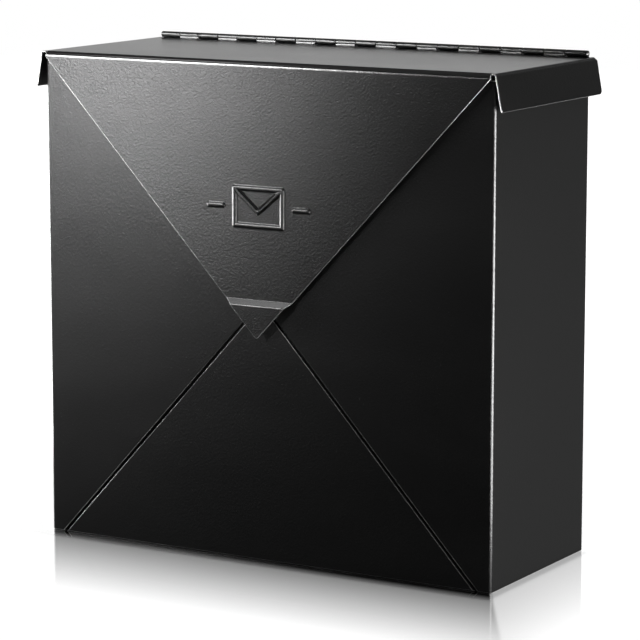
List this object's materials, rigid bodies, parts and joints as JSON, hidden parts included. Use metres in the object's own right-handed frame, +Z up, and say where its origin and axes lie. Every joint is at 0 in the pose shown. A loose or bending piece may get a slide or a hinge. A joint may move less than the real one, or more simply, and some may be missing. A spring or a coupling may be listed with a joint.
{
  "type": "wall mounted mailbox",
  "caption": "Wall mounted mailbox of black folded sheet steel, shaped like a closed envelope, with a hinged top lid whose triangular flap covers the front.",
  "frame": {"origin": "middle of the underside, halfway between the front and the back of the body", "axes": "+X to the right seen from the front, +Y towards the wall, +Z up"},
  "size_m": [0.3312, 0.1394, 0.3139],
  "materials": {
    "black_powder_coat": "satin powder coat with a fine orange peel",
    "black_hinge": "semi-gloss coated steel",
    "hinge_pin_steel": "drawn wire, sheared ends",
    "black_rubber": "matt"
  },
  "bodies": {
    "body": {"front_and_sides": "black_powder_coat", "back_panel": "black_powder_coat", "floor_pan": "black_powder_coat", "hinge_body_leaf": "black_hinge", "hinge_pin": "hinge_pin_steel", "body_leaf_rivets": "black_hinge"},
    "lid": {"lid": "black_powder_coat", "hinge_lid_leaf": "black_hinge", "lid_leaf_rivets": "black_hinge", "lid_bumpers": "black_rubber", "flap_bumper": "black_rubber"}
  },
  "joints": [
    {"name": "lid_hinge", "type": "hinge", "parent": "body", "child": "lid", "pos_m": [0, 0.0663, 0.3119], "axis": [-1, 0, 0], "range_deg": [0, 92]}
  ]
}
